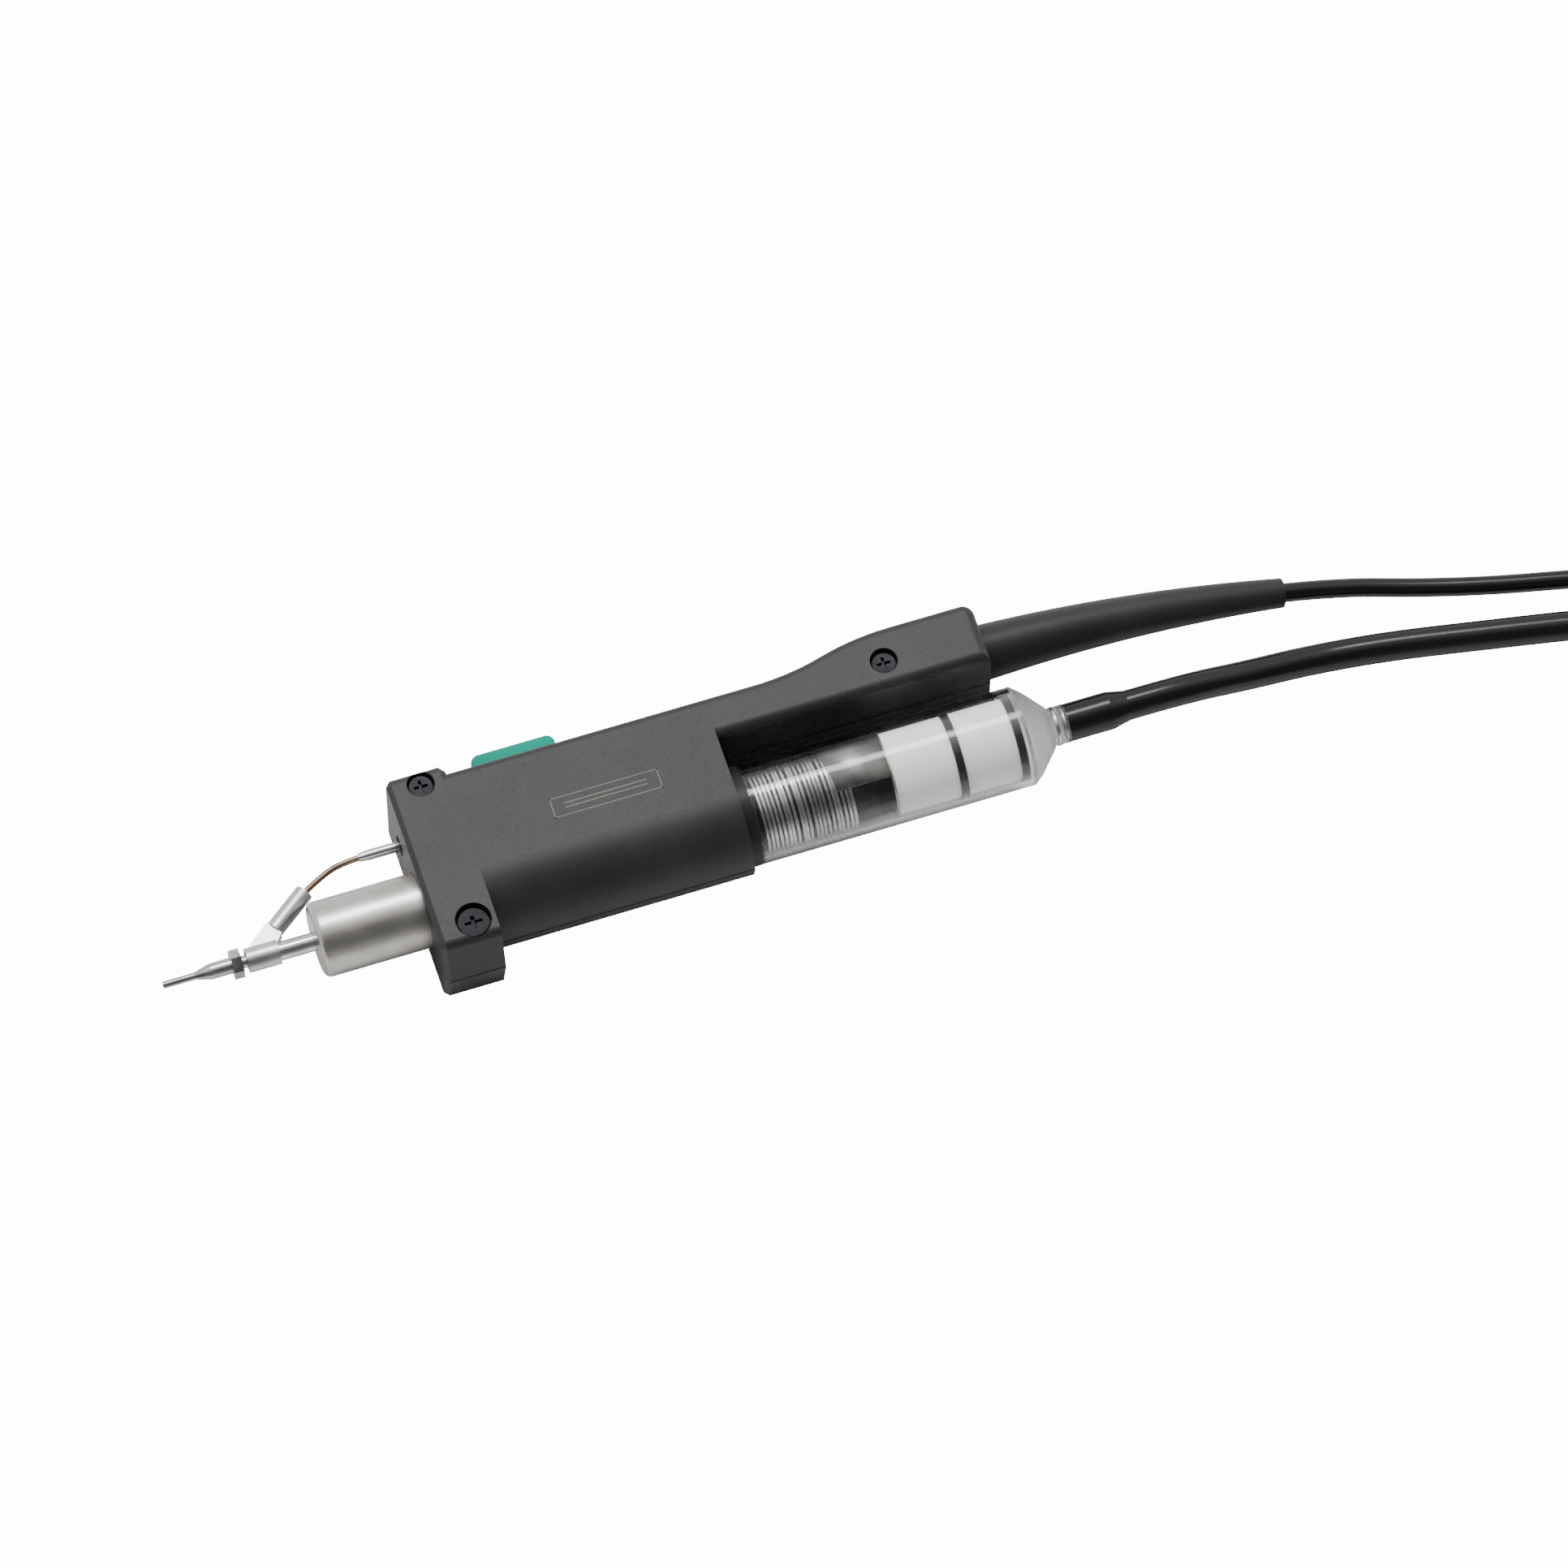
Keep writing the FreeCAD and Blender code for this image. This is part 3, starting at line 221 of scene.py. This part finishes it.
NODE_MATERIALS = {
    HOUSING: ["near_shell", "far_shell"],
    DARK_STEEL: ["foot_screw", "case_screws"],
    BUTTON: ["button_key"],
    BLACK: ["switch_body", "switch_plunger", "contact_plug", "contact_socket", "cable_clamp",
            "connector_body", "connector_insert", "hose_fitting"],
    BOARD: ["switch_board"],
    STEEL: ["cartridge_sleeve", "cartridge_cap", "suction_duct", "baffle_cone", "connector_shell"],
    BRIGHT: ["cartridge_tube", "tube_ferrule"],
    TIP: ["nozzle_tip", "nozzle_collar"],
    PLATED: ["branch_saddle", "branch_sleeve"],
    BRONZE: ["suction_tube"],
    WIRE: ["button_spring", "solder_trap"],
    CERAMIC: ["heater_core", "cartridge_insulator"],
    GOLD: ["contact_rings", "contact_springs", "connector_pins"],
    SEAL: ["port_seal", "collector_seal", "front_filter_ring", "rear_filter_ring"],
    FELT: ["front_filter", "rear_filter"],
    GLASS: ["collector_tube"],
    BOOT: ["cable_boot"],
    JACKET: ["cable_end"],
    LEADS: ["switch_leads", "heater_leads"],
    HOSE: ["hose_cuff"],
}


def dress(item, material):
    item.data.materials.clear()
    item.data.materials.append(material)


for cad_material, names in NODE_MATERIALS.items():
    for node_name in names:
        dress(nodes_of[node_name], cad_material)


# ---------------------------------------------------------------- stage, lights and camera

FLOOR_GLOW = 14.0           # burns the ground out to white, as lit from below


def floor():
    mesh = bpy.data.meshes.new("floor")
    side = 3.0
    mesh.from_pydata([(-side, -side, FLOOR_Z), (side, -side, FLOOR_Z), (side, side, FLOOR_Z),
                      (-side, side, FLOOR_Z)], [], [(0, 1, 2, 3)])
    item = bpy.data.objects.new("floor", mesh)
    bpy.context.collection.objects.link(item)
    material, nodes, links, shader = new_material("pale_floor")
    shader.inputs["Base Color"].default_value = (0.90, 0.90, 0.90, 1.0)
    shader.inputs["Roughness"].default_value = 0.75
    glow = nodes.new("ShaderNodeEmission")
    glow.inputs["Color"].default_value = (1.0, 1.0, 1.0, 1.0)
    glow.inputs["Strength"].default_value = FLOOR_GLOW
    path = nodes.new("ShaderNodeLightPath")
    mix = nodes.new("ShaderNodeMixShader")
    links.new(path.outputs["Is Camera Ray"], mix.inputs["Fac"])
    links.new(shader.outputs["BSDF"], mix.inputs[1])
    links.new(glow.outputs["Emission"], mix.inputs[2])
    links.new(mix.outputs["Shader"], nodes["Material Output"].inputs["Surface"])
    dress(item, material)


def area_light(name, place, target, size, power):
    light = bpy.data.lights.new(name, "AREA")
    light.shape = "RECTANGLE"
    light.size, light.size_y = size
    light.energy = power
    item = bpy.data.objects.new(name, light)
    bpy.context.collection.objects.link(item)
    item.location = place
    item.rotation_euler = (Vector(target) - Vector(place)).to_track_quat("-Z", "Y").to_euler()


def lights():
    """A sky that is bright on the button's side and dark low on the other side, and one soft box above."""
    world = bpy.data.worlds.new("studio")
    world.use_nodes = True
    nodes, links = world.node_tree.nodes, world.node_tree.links
    backdrop = nodes["Background"]
    backdrop.inputs["Strength"].default_value = 1.7
    place = nodes.new("ShaderNodeTexCoord")
    split = nodes.new("ShaderNodeSeparateXYZ")
    links.new(place.outputs["Generated"], split.inputs["Vector"])
    side = nodes.new("ShaderNodeMapRange")
    side.inputs["From Min"].default_value = -1.0
    links.new(split.outputs["Y"], side.inputs["Value"])
    sky = ramp(nodes, links, side.outputs["Result"],
               [(0.0, grey(0.30)), (0.06, grey(0.10)), (0.30, grey(0.10)),
                (0.50, grey(0.62)), (0.64, grey(1.0)), (0.86, grey(0.75))])
    links.new(sky, backdrop.inputs["Color"])
    bpy.context.scene.world = world
    target = (0.03, 0.0, 0.01)
    area_light("soft_box", (0.02, 0.30, 0.62), target, (0.55, 0.16), 4.0)


def camera():
    """A long lens, level with the horizon, looking down on the tool from its tip side."""
    azimuth = math.radians(-17.9)
    elevation = math.radians(64.0)
    target = Vector((35.6 * MM, 3.6 * MM, AXIS_Z))
    away = Vector((math.sin(azimuth) * math.cos(elevation), -math.cos(azimuth) * math.cos(elevation),
                   math.sin(elevation)))
    distance = 2.2
    seen_width = 254.2 * MM
    lens = bpy.data.cameras.new("camera")
    lens.sensor_width = 36.0
    lens.lens = lens.sensor_width * distance / seen_width
    lens.clip_end = 20.0
    item = bpy.data.objects.new("camera", lens)
    bpy.context.collection.objects.link(item)
    item.location = target + away * distance
    item.rotation_euler = (-away).to_track_quat("-Z", "Y").to_euler()
    bpy.context.scene.camera = item


floor()
lights()
camera()


# ---------------------------------------------------------------- visual pieces

def mesh_piece(name, mesh, material, body, smooth=True):
    """A finished piece from an edit mesh, riding on a body."""
    bmesh.ops.recalc_face_normals(mesh, faces=mesh.faces)
    data = bpy.data.meshes.new(name)
    mesh.to_mesh(data)
    mesh.free()
    for face in data.polygons:
        face.use_smooth = smooth
    item = bpy.data.objects.new(name, data)
    bpy.context.collection.objects.link(item)
    dress(item, material)
    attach(item, body)
    return item


def bridge(mesh, one, two):
    """A closed band of faces between two rings of the same number of vertices."""
    for step in range(len(one)):
        following = (step + 1) % len(one)
        mesh.faces.new((one[step], one[following], two[following], two[step]))


def turned(name, profile, material, body, axis=(0.0, None), steps=72):
    """A closed profile of (x, radius) turned about a line along X at (y, z); z defaults to the tool axis."""
    y, z = axis[0], AXIS_Z if axis[1] is None else axis[1]
    mesh = bmesh.new()
    angles = [2 * math.pi * step / steps for step in range(steps)]
    rings = [[mesh.verts.new((x, y + radius * math.cos(angle), z + radius * math.sin(angle)))
              for angle in angles] for x, radius in profile]
    for one, two in zip(rings, rings[1:] + rings[:1]):
        bridge(mesh, one, two)
    return mesh_piece(name, mesh, material, body)


def block(name, low, high, material, body):
    mesh = bmesh.new()
    bmesh.ops.create_cube(mesh, size=1.0)
    for vert in mesh.verts:
        vert.co = Vector([(a + b) / 2 + (b - a) * c for a, b, c in zip(low, high, vert.co)])
    return mesh_piece(name, mesh, material, body, smooth=False)


SHARP_FROM = math.radians(25)


def softened(name, node, width, keep, material, body):
    """A CAD piece, which it stands for, with its sharp edges rounded where keep(edge centre) is true."""
    source = nodes_of[node]
    mesh = bmesh.new()
    mesh.from_mesh(source.data)
    mesh.transform(source.matrix_world)
    bmesh.ops.remove_doubles(mesh, verts=mesh.verts, dist=0.001 * MM)
    bmesh.ops.dissolve_limit(mesh, angle_limit=math.radians(1.0), verts=mesh.verts, edges=mesh.edges)
    sharp = [edge for edge in mesh.edges
             if len(edge.link_faces) == 2 and edge.calc_face_angle() > SHARP_FROM
             and keep((edge.verts[0].co + edge.verts[1].co) / 2)]
    bmesh.ops.bevel(mesh, geom=sharp, offset=width, segments=4, profile=0.5, affect="EDGES",
                    clamp_overlap=True)
    item = mesh_piece(name, mesh, material, body)
    item.data.set_sharp_from_angle(angle=math.radians(40))
    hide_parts(node)
    return item


def round_curve(name, radius, rings, material):
    """An empty curve that draws a round, closed tube along its spline."""
    curve = bpy.data.curves.new(name, "CURVE")
    curve.dimensions = "3D"
    curve.bevel_depth = radius
    curve.bevel_resolution = rings
    curve.use_fill_caps = True
    curve.materials.append(material)
    return curve


def curve_piece(name, curve, body):
    item = bpy.data.objects.new(name, curve)
    bpy.context.collection.objects.link(item)
    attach(item, body)
    return item


def wire_coil(name, start, stop, radius, wire, turns, material, body):
    """A hand-wound coil about the tool axis: its pitch wanders a little."""
    curve = round_curve(name, wire, 4, material)
    spline = curve.splines.new("POLY")
    steps = turns * 28
    spline.points.add(steps)
    for step, point in enumerate(spline.points):
        share = step / steps
        angle = 2 * math.pi * turns * share
        wander = 0.12 * MM * math.sin(angle / 3.7) + 0.07 * MM * math.sin(angle / 1.6)
        point.co = (start + (stop - start) * share + wander * math.sin(math.pi * share),
                    radius * math.cos(angle), AXIS_Z + radius * math.sin(angle), 1.0)
    return curve_piece(name, curve, body)


PRINT = moulded("badge_print", (0.13, 0.115, 0.10), (0.17, 0.15, 0.135), 0.45, 1500.0, 0.002 * MM)
SEAM = moulded("seam_shadow", grey(0.004), grey(0.006), 0.8, 1500.0, 0.002 * MM)


def button():
    """The key with its corners rounded where it stands out of the grip."""
    clear_of_grip = 18.4 * MM
    rounding = 0.75 * MM
    softened("button_cap", "button_key", rounding, lambda p: p.y > clear_of_grip, BUTTON, "button")


def badge():
    """A plain framed panel with neutral bars, printed on the flat of the near shell."""
    left, right, low, high = -2.8 * MM, 15.5 * MM, 4.6 * MM, 8.2 * MM
    top = span("near_shell", 2)[1]
    line, thick = 0.22 * MM, 0.03 * MM
    margin = 2.2 * MM
    sides = [((left, low), (right, low + line)), ((left, high - line), (right, high)),
             ((left, low), (left + line, high)), ((right - line, low), (right, high))]
    for share in (0.36, 0.58):
        bar = low + (high - low) * share
        sides.append(((left + margin, bar), (right - margin, bar + 1.2 * line)))
    for number, (one, two) in enumerate(sides):
        block(f"badge_{number}", (*one, top - thick), (*two, top + thick), PRINT, "housing")


def seam():
    """The shadow line where the two shells meet, along the undersides that show."""
    half, out = 0.09 * MM, 0.03 * MM
    foot, grip, arm = span("near_shell", 1)[0], -9.5 * MM, 10.7 * MM    # the three undersides
    heel = FRONT_FACE + 10 * MM         # where the foot ends
    wall = FRONT_FACE + 53.5 * MM       # where the grip ends
    end = span("near_shell", 0)[1]
    for number, (one, two) in enumerate((((FRONT_FACE, foot - out), (heel, foot + out)),
                                         ((heel, grip - out), (wall, grip + out)),
                                         ((wall, arm - out), (end, arm + out)))):
        block(f"seam_{number}", (*one, AXIS_Z - half), (*two, AXIS_Z + half), SEAM, "housing")


def rolled_sheet(name, start, stop, slant, radius, angles, material, body, steps=40):
    """A thin sheet curled about the tool axis from one angle to another; its front edge slants."""
    mesh = bmesh.new()
    rows = []
    for step in range(steps + 1):
        share = step / steps
        angle = math.radians(angles[0] + (angles[1] - angles[0]) * share)
        begin = start + slant * share
        rows.append([mesh.verts.new((x, reach * math.cos(angle), AXIS_Z + reach * math.sin(angle)))
                     for x, reach in ((begin, radius), (stop, radius), (stop, radius - 0.15 * MM),
                                      (begin, radius - 0.15 * MM))])
    for one, two in zip(rows, rows[1:]):
        bridge(mesh, one, two)
    mesh.faces.new(rows[0])
    mesh.faces.new(rows[-1])
    return mesh_piece(name, mesh, material, body)


def trap():
    """The close coil and the rolled sheet that catch the solder, with a near-black tube of painted shade
    behind them.
    """
    front = span("solder_trap", 0)[0]
    rear = span("baffle_cone", 0)[1]
    room = GLASS_RADIUS - 1.25 * MM     # radius of what fits inside the clear tube
    wire = 0.33 * MM
    coil = wire_coil("trap_coil", front + 0.4 * MM, front + 16.0 * MM, room - 0.35 * MM, wire, 21, WIRE,
                     "collector")
    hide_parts("solder_trap")
    slant = 3.0 * MM
    sheet = rolled_sheet("trap_sheet", front + 10.5 * MM, rear - 0.3 * MM, slant, room, (-20.0, 118.0),
                         TRAP_STEEL, "collector")
    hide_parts("baffle_cone")
    # A thin near-black tube behind the coil and sheet: painted shade where the inside of the collector is only
    # in shade.
    shade_front, shade_rear = front + 0.3 * MM, rear - 0.3 * MM
    shade_out, shade_in = room - 1.0 * MM, room - 1.2 * MM
    turned("trap_shade_tube", [(shade_front, shade_out), (shade_rear, shade_out),
                           (shade_rear, shade_in), (shade_front, shade_in)], SHADE_STEEL, "collector")
    hole = 1.4 * MM
    disc_front, disc_rear = rear - 0.35 * MM, rear - 0.05 * MM
    turned("baffle_disc", [(disc_front, hole), (disc_front, room), (disc_rear, room), (disc_rear, hole)],
           STEEL, "collector")


def outlet_rings():
    """The two bright rings of the tube's outlet, in front of the hose."""
    front = span("hose_cuff", 0)[0]
    for number, (offset, radius) in enumerate(((-2.3, 3.3), (-0.9, 3.05))):
        start, crest = front + offset * MM, radius * MM
        foot = crest - 0.3 * MM
        turned(f"outlet_ring_{number}", [(start, foot), (start + 0.15 * MM, crest),
                                         (start + 0.55 * MM, crest), (start + 0.7 * MM, foot)],
               BRIGHT, "collector")


def plug_ribs():
    """Grip ribs round the body of the cable's plug."""
    low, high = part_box("connector_body")
    axis = ((low[1] + high[1]) / 2, (low[2] + high[2]) / 2)
    radius = (high[1] - low[1]) / 2
    crest, foot = radius + 0.22 * MM, radius - 0.3 * MM
    first, pitch = 3.0, 1.7
    profile = []
    for rib in range(8):
        start = low[0] + (first + pitch * rib) * MM
        profile += [(start, foot), (start + 0.2 * MM, crest), (start + 0.9 * MM, crest),
                    (start + 1.1 * MM, foot)]
    profile += [(profile[-1][0], radius - 0.6 * MM), (profile[0][0], radius - 0.6 * MM)]
    turned("plug_ribs", profile, BLACK, "housing", axis)


button()
badge()
seam()
trap()
outlet_rings()
plug_ribs()


# ---------------------------------------------------------------- cords

# The routes repeat part.py's, in metres: the free stretch and the tail from the hank's top to the end piece.
CABLE_ROUTE = [(0.1245, 0.0140, 0.0045), (0.1345, 0.0130, 0.0025), (0.1465, 0.0094, 0.0016),
               (0.1585, 0.0060, 0.0016), (0.1710, 0.0032, 0.0016), (0.1830, 0.0002, 0.0016),
               (0.1940, -0.0036, 0.0016), (0.2040, -0.00544, 0.0016)]
CABLE_TAIL = [(0.2040, -0.00544, 0.01216), (0.2220, -0.0053, 0.0136), (0.2400, -0.0050, 0.0156),
              (0.25645, -0.0050, 0.0168), (0.26275, 0.0013, 0.0182), (0.26275, 0.0102, 0.0196),
              (0.25645, 0.0165, 0.0209), (0.2460, 0.0165, 0.0213)]
HOSE_ROUTE = [(0.0940, 0.0000, 0.0095), (0.1035, 0.0000, 0.0095), (0.1135, 0.0010, 0.0056),
              (0.1250, 0.0019, 0.0025), (0.1380, 0.0004, 0.0025), (0.1530, -0.0024, 0.0025),
              (0.1700, -0.0056, 0.0025), (0.1850, -0.0092, 0.0025), (0.2020, -0.0110, 0.0025),
              (0.2250, -0.0116, 0.0025), (0.2500, -0.0112, 0.0025), (0.2700, -0.0115, 0.0025),
              (0.2880, -0.0114, 0.0025)]
HOSE_TAIL = [(0.2880, -0.0114, 0.0275), (0.3000, -0.0110, 0.0298), (0.3140, -0.0100, 0.0323)]

# Where a hank's two folds are centred (front X, back X, Y). A turn is (lane radius, height of the cord's
# centre as it starts): it runs back along -Y, round the back fold, forward along +Y and, in the front fold,
# over to the next turn's lane and height.
CABLE_FOLDS = (204.0 * MM, 252.0 * MM, 7.68 * MM)
CABLE_TURNS = [(lane * MM, (1.6 + 3.52 * layer) * MM) for lane, layer in (
    (13.12, 0), (9.6, 0), (9.6, 1), (13.12, 1), (13.12, 2), (9.6, 2), (9.6, 3), (13.12, 3))]
HOSE_FOLDS = (288.0 * MM, 365.0 * MM, 4.0 * MM)
HOSE_TURNS = [(15.4 * MM, (2.5 + 5.0 * turn) * MM) for turn in range(5)]
RUN_SHARES = (0.25, 0.5, 0.75)
FOLD_STEPS = 6
FOLD_REACH = 1 / math.cos(math.pi / FOLD_STEPS / 2)


def hank_points(folds, turns, last):
    """Points of a folded hank, from the first turn's start to just before the last height is reached. A
    fold's points lie a little outside its circle, so that the curve they pull lies on it."""
    front, back, middle = folds
    run = back - front
    points = []
    for number, (radius, height) in enumerate(turns):
        following, rise = turns[number + 1] if number + 1 < len(turns) else (radius, last)
        reach = radius * FOLD_REACH
        if number:
            points.append((front, middle - radius, height))
        points += [(front + run * share, middle - radius, height) for share in RUN_SHARES]
        for step in range(FOLD_STEPS):
            angle = math.pi * (step + 0.5) / FOLD_STEPS - math.pi / 2
            points.append((back + reach * math.cos(angle), middle + reach * math.sin(angle), height))
        points += [(back - run * share, middle + radius, height) for share in RUN_SHARES]
        for step in range(FOLD_STEPS):
            angle = math.pi * (step + 0.5) / FOLD_STEPS + math.pi / 2
            share = (step + 0.5) / FOLD_STEPS
            reach = (radius + (following - radius) * share) * FOLD_REACH
            points.append((front + reach * math.cos(angle), middle + reach * math.sin(angle),
                           height + (rise - height) * share))
    return points


def strap(name, node, share, width, body):
    """A hook-and-loop tie around one point of a hank's two runs."""
    low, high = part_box(node)
    middle = low[0] + (high[0] - low[0]) * share
    proud, thick, corner = 0.9 * MM, 0.8 * MM, 3.0 * MM
    half = ((high[1] - low[1]) / 2 + proud, (high[2] - low[2]) / 2 + proud)
    centre = ((low[1] + high[1]) / 2, (low[2] + high[2]) / 2 + 0.2 * MM)
    rim = []
    for side_y, side_z, begin in ((1, -1, -90), (1, 1, 0), (-1, 1, 90), (-1, -1, 180)):
        for step in range(7):
            angle = math.radians(begin + 15 * step)
            rim.append((centre[0] + side_y * (half[0] - corner) + corner * math.cos(angle),
                        centre[1] + side_z * (half[1] - corner) + corner * math.sin(angle)))
    mesh = bmesh.new()
    loops = []
    for inset, x in ((0.0, -width / 2), (0.0, width / 2), (thick, width / 2), (thick, -width / 2)):
        loop = []
        for y, z in rim:
            scale = ((half[0] - inset) / half[0], (half[1] - inset) / half[1])
            loop.append(mesh.verts.new((middle + x, centre[0] + (y - centre[0]) * scale[0],
                                        max(centre[1] + (z - centre[1]) * scale[1], FLOOR_Z + inset * 0.5))))
        loops.append(loop)
    for one, two in zip(loops, loops[1:] + loops[:1]):
        bridge(mesh, one, two)
    return mesh_piece(name, mesh, SEAL, body, smooth=False)


def cord(name, points, radius, material, body, nodes):
    """A smooth cord pulled along its points, in place of the CAD nodes named."""
    curve = round_curve(name, radius, 7, material)
    curve.resolution_u = 6
    spline = curve.splines.new("NURBS")
    spline.points.add(len(points) - 1)
    for knot, point in zip(spline.points, points):
        knot.co = (*point, 1.0)
    spline.order_u = 3
    spline.use_endpoint_u = True
    item = curve_piece(name, curve, body)
    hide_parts(*nodes)
    return item


CABLE_THICKNESS = 3.2 * MM
HOSE_THICKNESS = 5.0 * MM

cable_line = CABLE_ROUTE + hank_points(CABLE_FOLDS, CABLE_TURNS, CABLE_TAIL[0][2]) + CABLE_TAIL
cable = cord("cable", cable_line, CABLE_THICKNESS / 2, JACKET, "housing",
             ["power_cable", "cable_hank", "cable_tail"])

hose_line = HOSE_ROUTE + hank_points(HOSE_FOLDS, HOSE_TURNS, HOSE_TAIL[0][2]) + HOSE_TAIL
hose = cord("hose", hose_line, HOSE_THICKNESS / 2, HOSE, "collector",
            ["suction_hose", "hose_hank", "hose_tail"])


CABLE_TIE_WIDTH = 9.0 * MM
HOSE_TIE_WIDTH = 11.0 * MM
for tie_number, (cable_share, hose_share) in enumerate(((0.34, 0.28), (0.74, 0.74))):
    strap(f"cable_tie_{tie_number}", "cable_hank", cable_share, CABLE_TIE_WIDTH, "housing")
    strap(f"hose_tie_{tie_number}", "hose_hank", hose_share, HOSE_TIE_WIDTH, "collector")
